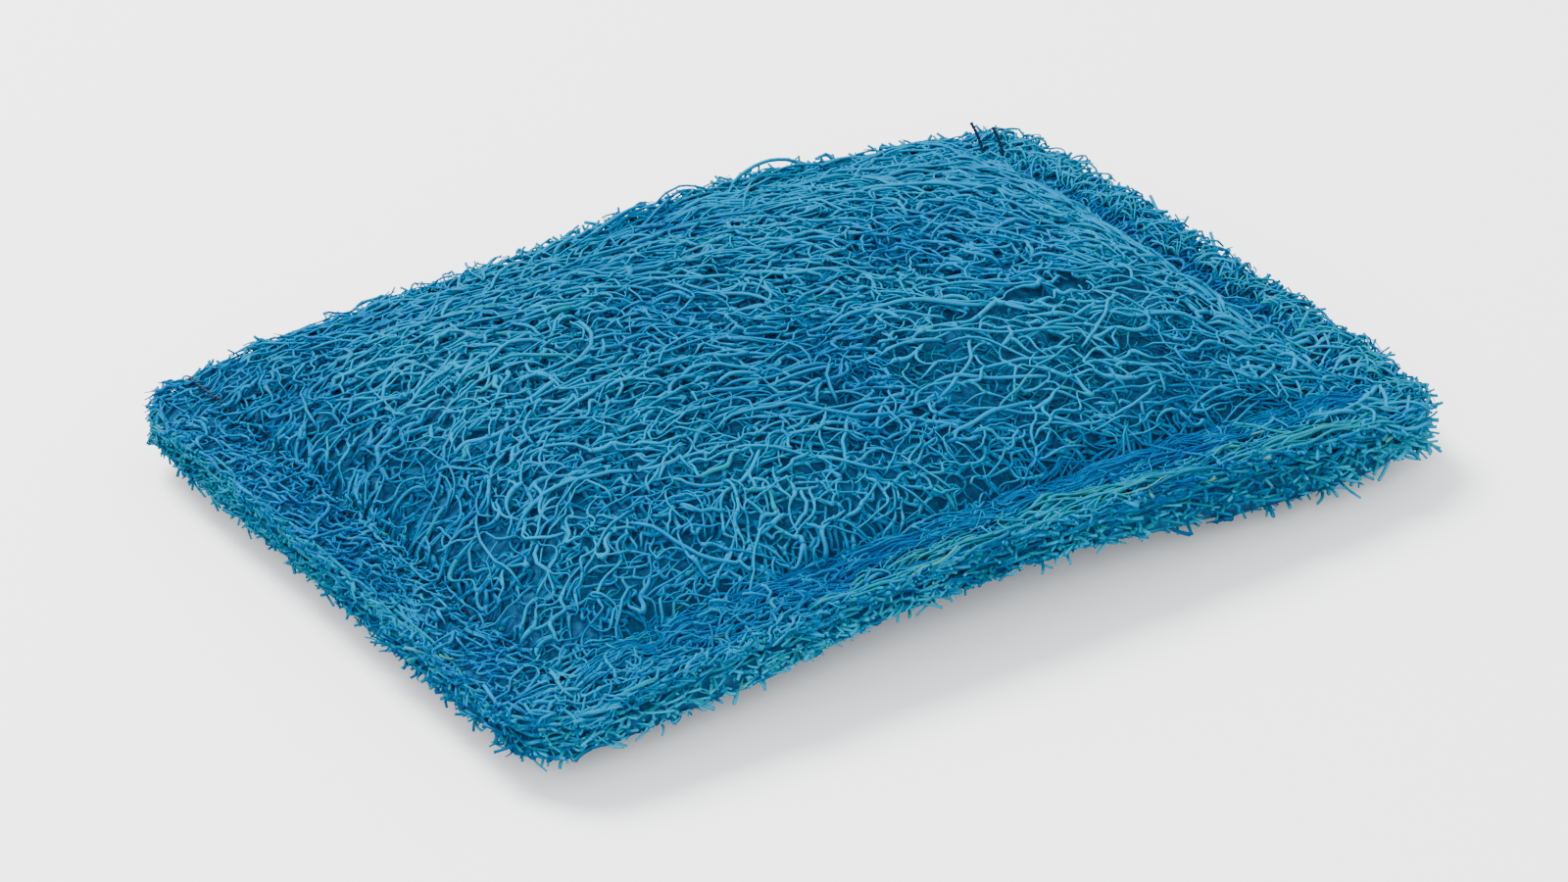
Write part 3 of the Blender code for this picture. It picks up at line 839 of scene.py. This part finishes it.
net_piece(
    "upper_left_shoulder_veins", 18, all_of(crown, left_shoulder),
    spacing=2.6, stretch=2.3, angle=32, depth=0.0, relief=0.6, radius=0.26, tone=0.74, rings=8, curl=0.7,
    missing=0.2, spread=0.3,
)
net_piece(
    "upper_front_shoulder_veins", 17, all_of(crown, front_shoulder),
    spacing=2.5, stretch=1.6, angle=68, depth=-0.1, relief=0.6, radius=0.25, tone=0.74, rings=7,
    curl=0.6, jitter=0.8,
)
for name, seed, low, high, spacing, stretch, angle, radius, tone, curl, spread in (
    ("upper_left_veins", 21, -14, 90, 2.3, 2.4, -9, 0.24, 0.74, 0.6, 0.25),
    ("upper_middle_veins", 22, -40, -14, 2.4, 1.9, -27, 0.235, 0.72, 0.6, 0.25),
    ("upper_right_veins", 23, -90, -40, 2.3, 2.2, -45, 0.23, 0.72, 0.5, 0.28),
):
    net_piece(
        name, seed, all_of(closed, flow_band(low, high)),
        spacing=spacing, stretch=stretch, angle=angle, depth=0.05, relief=0.5, radius=radius, tone=tone,
        rings=7, curl=curl, missing=0.34, spread=spread,
    )
net_piece(
    "upper_open_veins", 45, all_of(crown, open_patch),
    spacing=3.6, stretch=1.6, angle=-8, depth=0.0, relief=0.6, radius=0.26, tone=0.86, rings=7,
    straighten=0.25, missing=0.10, jitter=0.9, curl=0.6,
)
net_piece(
    "upper_open_inner_veins", 20, all_of(crown, open_patch),
    spacing=2.0, stretch=1.8, angle=35, depth=1.7, relief=0.9, radius=0.18, teal=0.25, tone=0.68,
    sides=4, missing=0.3, curl=0.6,
)
net_piece(
    "upper_open_floor_veins", 19, all_of(crown, lambda x, y: open_patch(x, y) + 0.06),
    spacing=1.3, stretch=2.0, angle=-50, depth=3.3, relief=0.6, radius=0.19, teal=0.25, tone=0.58,
    rings=4, sides=4, missing=0.3,
)
hair_piece(
    "upper_open_long_veins", 16, 34, (-8 * MM, -38 * MM), (58 * MM, -4 * MM),
    direction=lambda x, y: -0.1 + 0.3 * waves(x, y, 30 * MM, 17),
    lengths=(14, 32), stray=0.2, kink=0.1, depth=-0.3, relief=0.4, radius=0.22, tone=0.84, rings=16,
)
hair_piece(
    "upper_long_veins", 46, 200, (-SEAM_X + 3 * MM, -SEAM_Y + 3 * MM),
    (SEAM_X - 3 * MM, SEAM_Y - 3 * MM), direction=along_flow,
    lengths=(8, 20), stray=0.25, kink=0.2, depth=-0.2, relief=0.35, radius=0.21, tone=0.66, in_open=0.6,
)
hair_piece(
    "upper_curled_veins", 29, 640, (-SEAM_X + 2 * MM, -SEAM_Y + 2 * MM),
    (SEAM_X - 2 * MM, SEAM_Y - 2 * MM), direction=along_flow,
    lengths=(4, 10), stray=0.7, kink=0.36, depth=-0.15, relief=0.3, radius=0.20, tone=0.73, rings=10,
    sides=4, in_open=0.7,
)
net_piece(
    "upper_stray_veins", 27, closed,
    spacing=2.9, stretch=2.2, angle=-14, depth=-0.3, relief=0.5, radius=0.23, tone=0.75, rings=7,
    missing=0.6, bend=3.0, curl=0.9,
)
net_piece(
    "upper_second_veins", 25, all_of(crown, holed),
    spacing=1.9, stretch=2.0, angle=-16, depth=0.6, relief=0.4, radius=0.27, tone=0.60, in_open=0.96,
    sides=4, spread=0.12, curl=0.6,
)
net_piece(
    "upper_third_veins", 26, crown,
    spacing=2.0, stretch=1.5, angle=60, depth=1.25, relief=0.5, radius=0.29, tone=0.62, in_open=0.93,
    rings=4, sides=4, spread=0.12,
)


def margin(x, y):
    """Above 0 from just inside the seams out to the cut edge, which frays in and out a little."""
    fray = 0.5 * MM * waves(x, y, 4 * MM, 6) + 0.2 * MM
    return np.minimum(past_seam(x, y) + 1.2 * MM, -past_edge(x, y) + fray)


def long_side(x, y):
    """Above 0 in the front and back margins and below 0 in the left and right ones."""
    return (np.abs(y) - HALF_WIDTH) - (np.abs(x) - HALF_LENGTH) + 1.5 * MM * waves(x, y, 8 * MM, 7)


def on_side(side_x, side_y):
    """A field that is above 0 on one side, which is named by its direction from the middle."""
    if side_y:
        return lambda x, y: np.minimum(long_side(x, y), y * side_y)
    return lambda x, y: np.minimum(-long_side(x, y), x * side_x)


for name, seed, side, angle, stretch, missing, tone in (
    ("upper_front_margin_veins", 31, (0, -1), 2, 2.6, 0.20, 0.66),
    ("upper_back_margin_veins", 35, (0, 1), 0, 3.0, 0.05, 0.72),
    ("upper_left_margin_veins", 32, (-1, 0), 104, 2.0, 0.28, 0.70),
    ("upper_right_margin_veins", 33, (1, 0), 15, 2.0, 0.30, 0.50),
):
    net_piece(
        name, seed, all_of(margin, on_side(*side)),
        spacing=1.4, stretch=stretch, angle=angle, depth=0.0, relief=0.5, radius=0.2, tone=tone,
        shoulder=False, bend=1.5, curl=0.4, missing=missing, spread=0.3,
    )
net_piece(
    "upper_margin_loops", 37, margin,
    spacing=2.6, stretch=2.0, angle=35, depth=-0.35, relief=0.4, radius=0.22, tone=0.70, rings=7,
    shoulder=False, curl=0.7, missing=0.55,
)
net_piece(
    "upper_margin_second_veins", 34, margin,
    spacing=1.35, stretch=1.8, angle=20, depth=0.9, relief=0.7, radius=0.22, tone=0.62, rings=4, sides=4,
    shoulder=False,
)
hair_piece(
    "upper_front_foot_veins", 30, 520, (-SEAM_X, -SEAM_Y - 3.5 * MM), (SEAM_X, -SEAM_Y + 1 * MM),
    lengths=(5, 16), stray=0.08, kink=0.08, depth=-0.1, relief=0.4, radius=0.16, tone=0.42, rings=9,
    sides=4, royal=0.2,
)
hair_piece(
    "upper_front_rim_veins", 36, 190, (-22 * MM, -HALF_WIDTH + 0.3 * MM),
    (66 * MM, -HALF_WIDTH + 3.6 * MM),
    lengths=(5, 20), stray=0.12, kink=0.13, depth=-0.2, relief=0.5, radius=0.165, tone=0.50, teal=0.75,
    bare=0.06, royal=-1.0,
)
hair_piece(
    "upper_front_corner_veins", 40, 300, (-HALF_LENGTH, -HALF_WIDTH + 0.5 * MM),
    (-20 * MM, -SEAM_Y - 2 * MM),
    lengths=(2.5, 7), stray=0.6, kink=0.34, depth=-0.25, relief=0.4, radius=0.22, tone=0.72, rings=8,
    sides=4, royal=-0.3,
)
hair_piece(
    "upper_back_flow_veins", 43, 260, (-38 * MM, SEAM_Y - 5 * MM), (SEAM_X, HALF_WIDTH - 0.5 * MM),
    lengths=(6, 22), stray=0.22, kink=0.12, depth=-0.1, relief=0.5, radius=0.21, tone=0.80, rings=10,
    sides=4, royal=-0.3, spread=0.32,
)
hair_piece(
    "upper_right_foot_veins", 44, 170, (SEAM_X - 6 * MM, -SEAM_Y + 2 * MM), (SEAM_X - 0.5 * MM, SEAM_Y),
    direction=lambda x, y: -np.pi / 2 + 0 * x,
    lengths=(6, 18), stray=0.12, kink=0.1, depth=-0.2, relief=0.4, radius=0.18, tone=0.46, rings=9,
    sides=4, royal=0.1,
)
hair_piece(
    "upper_right_corner_veins", 47, 110, (50 * MM, -HALF_WIDTH + 2 * MM),
    (HALF_LENGTH - 1 * MM, -22 * MM), direction=lambda x, y: 0.1 + 0 * x,
    lengths=(4, 11), stray=0.5, kink=0.25, depth=-0.5, relief=0.5, radius=0.24, tone=0.92, rings=9,
    beyond=1.2, royal=-1.0, teal=0.15, both_ways=False,
)
hair_piece(
    "upper_right_bristles", 38, 560, (SEAM_X + 3.0 * MM, -HALF_WIDTH + 3 * MM),
    (HALF_LENGTH - 1.5 * MM, HALF_WIDTH),
    lengths=(2.5, 7), stray=0.75, kink=0.2, depth=-0.2, relief=0.6, radius=0.16, tone=0.92, rings=6,
    sides=4, beyond=1.4, arch=0.8, royal=-1.0, teal=0.25, both_ways=False, spread=0.35,
)
hair_piece(
    "upper_back_loops", 39, 16, (-10 * MM, HALF_WIDTH - 3 * MM), (40 * MM, HALF_WIDTH - 0.5 * MM),
    lengths=(7, 18), stray=0.2, kink=0.15, depth=0.1, relief=0.2, radius=0.18, tone=0.5, arch=2.6,
)


# Nets of the lower sheet. The same loofah is pressed flat under the middle of the pad; its deepest blue is a
# little darker, and its middle and light blues are painted lighter, as painted light on the sheet's shaded
# underside and edge. Its margin is sewn against the upper one's and droops away from it at the front.
LOWER_DYES = (  # the same five dyes; the middle and light ones are painted lighter against the shade the lower sheet lies in
    (0.0003, 0.044, 0.124), (0.0003, 0.104, 0.210), (0.0006, 0.225, 0.345),
    (0.0006, 0.125, 0.155), (0.080, 0.170, 0.065),
)
finishes["lower"] = loofah("lower_loofah", LOWER_DYES, roughness=0.38)
net_piece(
    "lower_outer_veins", 41, lambda x, y: -past_edge(x, y) - 0.8 * MM,
    spacing=1.7, stretch=2.4, angle=8, depth=0.3, relief=0.3, radius=0.26, tone=0.66, rings=4, sides=4,
    shoulder=False, half="lower",
)
net_piece(
    "lower_second_veins", 42, lambda x, y: -past_edge(x, y),
    spacing=2.1, stretch=1.5, angle=50, depth=1.1, relief=0.4, radius=0.28, tone=0.60, rings=4, sides=3,
    shoulder=False, half="lower",
)


# Cut edge. Seen from the side, the margin is a wall of cut and looped veins, and the shears leave short ends
# standing out of it, most of them square to the edge.
def edge_point(way):
    """Points and outward normals at distances way round the outline, from the front end of the right side."""
    straight_x, straight_y = 2 * (HALF_LENGTH - CORNER_RADIUS), 2 * (HALF_WIDTH - CORNER_RADIUS)
    arc = np.pi / 2 * CORNER_RADIUS
    lengths = np.array([straight_y, arc, straight_x, arc] * 2)
    ends = np.concatenate([[0], np.cumsum(lengths)])
    way = way % ends[-1]
    stretch = np.clip(np.searchsorted(ends, way, side="right") - 1, 0, 7)
    within = (way - ends[stretch]) / lengths[stretch]
    quarter = stretch // 2
    angle = (quarter + np.where(stretch % 2 == 1, within, 0)) * np.pi / 2
    normal = np.stack([np.cos(angle), np.sin(angle)], -1)
    corner_x = (HALF_LENGTH - CORNER_RADIUS) * np.array([1, -1, -1, 1])
    corner_y = (HALF_WIDTH - CORNER_RADIUS) * np.array([1, 1, -1, -1])
    start = np.stack([corner_x[(quarter + 3) % 4], corner_y[(quarter + 3) % 4]], -1)
    stop = np.stack([corner_x[quarter], corner_y[quarter]], -1)
    share = np.where(stretch % 2 == 0, within, 1)[..., None]
    return start * (1 - share) + stop * share + normal * CORNER_RADIUS, normal


EDGE_LENGTH = 4 * (HALF_LENGTH + HALF_WIDTH - 2 * CORNER_RADIUS) + 2 * np.pi * CORNER_RADIUS
EDGE_RINGS = 5  # rings of each cut vein
WALL_MESH = 1.05 * MM
WALL_TOP = 0.96  # highest vein of the wall, as a share of its height
LEFT_END = 72  # mm from the middle of the pad


def wall_level(x, y, share, half):
    """A height in the edge of one sheet, from 0 where the sheets meet to 1 on its outer face."""
    outer = upper_face(x, y) if half == "upper" else lower_face(x, y)
    return meeting_plane(x, y) * (1 - share) + outer * share


def left_end(x):
    """A ramp of 1 mm at the pad's left end, from 0 to 1."""
    return np.clip(-x / MM - LEFT_END, 0, 1)


def green_end(x, y):
    """How green the dye is in the edge of the pad's left end, which fades out towards the front."""
    green = 0.4 + 0.3 * waves(x, y, 4 * MM, 61)
    return green * left_end(x) * np.clip(y / (14 * MM) + 0.9, 0, 1)


def finish_edge(name, draw, half, paths, radii, light, teal):
    """A piece of cut veins. teal is the share of them that took the dye badly."""
    x, y, count = paths[..., 0], paths[..., 1], len(paths)
    teals, bares = chance(draw, count, teal, 0.2, 0.9), chance(draw, count, 0.01, 0.2, 0.6)
    tint = tints(light, np.maximum(teals, green_end(x, y)), bares, 0.2, x.shape)
    fibre_piece(name, half, paths, radii, tint, 4)


def wall_piece(name, seed, half, tone, at_left):
    """A fine net laid round the edge of one sheet, from where the sheets meet to its outer face. Its veins
    lie deeper near both rims of the wall. at_left is added to their lightness at the pad's left end."""
    draw = np.random.default_rng(seed)
    knots, joins = net(
        draw, WALL_MESH, stretch=1.8, angle=0.0, half_x=EDGE_LENGTH / 2, half_y=0.47 * MARGIN_THICKNESS,
        jitter=0.42,
    )
    curve = veins(knots, joins, EDGE_RINGS, straighten=0.3)[0]
    share = np.clip(curve[..., 1] / MARGIN_THICKNESS + 0.5, 0, WALL_TOP)
    across = (share < 0.93).any(1)  # no vein runs along the rim
    curve, share, joins = curve[across], share[across], joins[across]
    point, normal = edge_point(curve[..., 0] + EDGE_LENGTH / 2)
    uneven = between(draw.uniform(-1, 1, len(knots))[joins], EDGE_RINGS)
    inset = 0.5 * MM + 0.5 * MM * uneven + 1.2 * MM * (2 * share - 1) ** 4
    plan = point - normal * inset[..., None]
    x, y = plan[..., 0], plan[..., 1]
    paths = np.stack([x, y, wall_level(x, y, share, half)], -1)
    radii = np.full(x.shape, 0.26 * MM) * np.exp(draw.normal(0, 0.2, len(x)))[:, None]
    light = tone + 0.40 * draw.uniform(-1, 1, len(x))[:, None] + at_left * left_end(x)
    # Painted shade: veins set deeper into the wall are painted darker; the broad patches add painted light
    # and shade.
    light = light - 0.25 * (inset / MM - 0.5) + painted_light_and_shade(x, y)
    finish_edge(name, draw, half, paths, radii, light, teal=0.4)


def fringe_piece(name, seed, half, count, tone, at_left):
    """Short ends at random places round the edge, from a little inside it outwards. They lean and hook to the
    side at random, are longest on the right and the front, and get lighter towards their tips."""
    draw = np.random.default_rng(seed)
    point, normal = edge_point(draw.random(count) * EDGE_LENGTH)
    tangent = np.stack([-normal[:, 1], normal[:, 0]], -1)
    lean = draw.normal(0, 0.7, count)[:, None]
    out = normal * np.cos(lean) + tangent * np.sin(lean)
    inside = draw.uniform(0.8, 2.2, count)[:, None, None] * MM
    shaggy = np.clip(1.2 * point[:, 0] / HALF_LENGTH, -1, 1) - np.clip(point[:, 1] / HALF_WIDTH, -0.1, 0.9)
    beyond = draw.uniform(-0.2, 1.2, count) * MM * np.clip(1 + 0.6 * shaggy, 0.3, 2)
    long_ends = draw.random(count) < 0.10 + 0.06 * shaggy
    beyond = beyond + np.where(long_ends, draw.uniform(0.5, 1.8, count) * MM, 0)
    t = np.linspace(0, 1, EDGE_RINGS)[None, :, None]
    plan = point[:, None] + out[:, None] * ((inside + beyond[:, None, None]) * t - inside)
    hook = draw.normal(0, 1.3, count)[:, None, None] * MM
    plan = plan + tangent[:, None] * hook * t**2
    x, y = plan[..., 0], plan[..., 1]
    z = wall_level(x, y, draw.uniform(0.1, 1.0, count)[:, None], half)
    z = z + draw.normal(0.1, 0.5, count)[:, None] * MM * t[..., 0] ** 2 * (1 if half == "upper" else -1)
    paths = np.stack([x, y, np.maximum(z, 0.3 * MM)], -1)
    thick = 0.21 * MM * (1 + 0.15 * shaggy[:, None]) * np.exp(draw.normal(0, 0.2, (count, 1)))
    light = tone + 0.45 * draw.uniform(-1, 1, count)[:, None] + 0.72 * t[..., 0] + painted_light_and_shade(x, y)
    light = light + at_left * left_end(x)
    finish_edge(name, draw, half, paths, thick * np.ones(EDGE_RINGS), light, teal=0.35)


# The lower sheet's wall and frayed ends get higher tones than the upper one's: painted light on the edge that
# faces down into shade.
wall_piece("upper_cut_edge", 51, "upper", tone=0.46, at_left=-0.1)
wall_piece("lower_cut_edge", 52, "lower", tone=0.58, at_left=-0.8)
fringe_piece("upper_frayed_edge", 53, "upper", count=1500, tone=0.26, at_left=-0.2)
fringe_piece("lower_frayed_edge", 54, "lower", count=1500, tone=0.36, at_left=-0.8)


# Sewing threads. Two-ply twisted navy polyester, drawn tight into the loofah at every stitch. The right and
# the back seam end in short tails that stand up at the back right corner, and the other ends are cut at the
# edge.
PLY_RADIUS, PLY_OFFSET = 0.16 * MM, 0.14 * MM
TWIST_LENGTH = 1.4 * MM
RING_STEP = 0.25 * MM
STITCH = 7 * MM
STITCH_DIP, STITCH_HALF = 0.6 * MM, 0.7 * MM
THREAD_DEPTH = 0.2 * MM  # under the sheets' faces
THREAD_INSET = 0.6 * MM  # of the cut ends from the cut edge
TAIL_INSET = 0.3 * MM  # of the tails' feet from the crossing of the seams
BACK_TAIL, RIGHT_TAIL = 8.2 * MM, 9.2 * MM


def sewing_thread():
    made, shader = material("sewing_thread")
    tree = made.node_tree
    twist = noise(tree, 3000, detail=2)
    colour = ramp(tree, twist, (0, (0.0010, 0.009, 0.028)), (1, (0.0030, 0.020, 0.055)))
    tree.links.new(colour, shader.inputs["Base Color"])
    shader.inputs["Roughness"].default_value = 0.6
    shader.inputs["Specular IOR Level"].default_value = 0.15
    return made


def seam_path(ways, offset, along_x, face, side):
    """The thread's middle at distances ways along a seam: on the sheet's face, with a dip at every stitch."""
    x, y = (ways, np.full_like(ways, offset)) if along_x else (np.full_like(ways, offset), ways)
    to_hole = (ways + STITCH / 2) % STITCH - STITCH / 2
    dip = STITCH_DIP * bell(to_hole / STITCH_HALF)
    return np.stack([x, y, face(x, y) - side * (THREAD_DEPTH + dip)], -1)


def tail(start, heading, length, lean):
    """A thread end that turns from heading to upright over its first half, then leans over."""
    t = np.arange(1, int(length / RING_STEP))[:, None] * RING_STEP / length
    turned = smooth(np.clip(2 * t, 0, 1))
    way = unit(np.array(heading) * (1 - turned) + np.array((0.0, 0.0, 1.0)) * turned + np.array(lean) * t)
    return start + np.cumsum(way * RING_STEP, axis=0)


def two_ply(name, middle):
    """Two plies wound round the thread's middle, half a turn apart."""
    along = unit(np.gradient(middle, axis=0))
    across = unit(np.cross(along, (0.3, 0.2, 0.93)))
    above = np.cross(across, along)
    turn = np.arange(len(middle)) * RING_STEP / TWIST_LENGTH * 2 * np.pi + np.array([[0], [np.pi]])
    plies = middle + PLY_OFFSET * (across * np.cos(turn)[..., None] + above * np.sin(turn)[..., None])
    return fibre_mesh(name, plies, np.full(plies.shape[:2], PLY_RADIUS), np.ones((*plies.shape[:2], 4)), 5)


thread_finish = sewing_thread()
for side_name, along_x, offset in (
    ("front", True, -SEAM_Y), ("back", True, SEAM_Y), ("left", False, -SEAM_X), ("right", False, SEAM_X),
):
    reach = (HALF_LENGTH if along_x else HALF_WIDTH) - THREAD_INSET
    has_tail = side_name in ("back", "right")
    stop = (SEAM_X if along_x else SEAM_Y) - TAIL_INSET if has_tail else reach
    ways = np.arange(-reach, stop, RING_STEP)
    for bobbin, (face, side) in enumerate(((upper_face, 1), (lower_face, -1))):
        middle = seam_path(ways, offset, along_x, face, side)
        if side_name == "left" and not bobbin:  # it comes out of the groove at its back end
            surfacing = np.clip((ways - SEAM_Y + 3 * MM) / (4 * MM), 0, 1)
            middle[:, 2] += surfacing * (groove_fill(middle[:, 0], middle[:, 1]) + 0.6 * MM)
        if has_tail and not bobbin:
            heading = (1.0, 0.0, 0.0) if along_x else (0.0, 1.0, 0.0)
            length = BACK_TAIL if along_x else RIGHT_TAIL
            middle = np.concatenate([middle, tail(middle[-1], heading, length, (-0.6, 0.2, 0.0))])
        kind = "bobbin" if bobbin else "needle"
        yarn = two_ply(f"{kind}_yarn_{side_name}", middle)
        finish_piece(yarn, thread_finish, f"{kind}_thread_{side_name}")
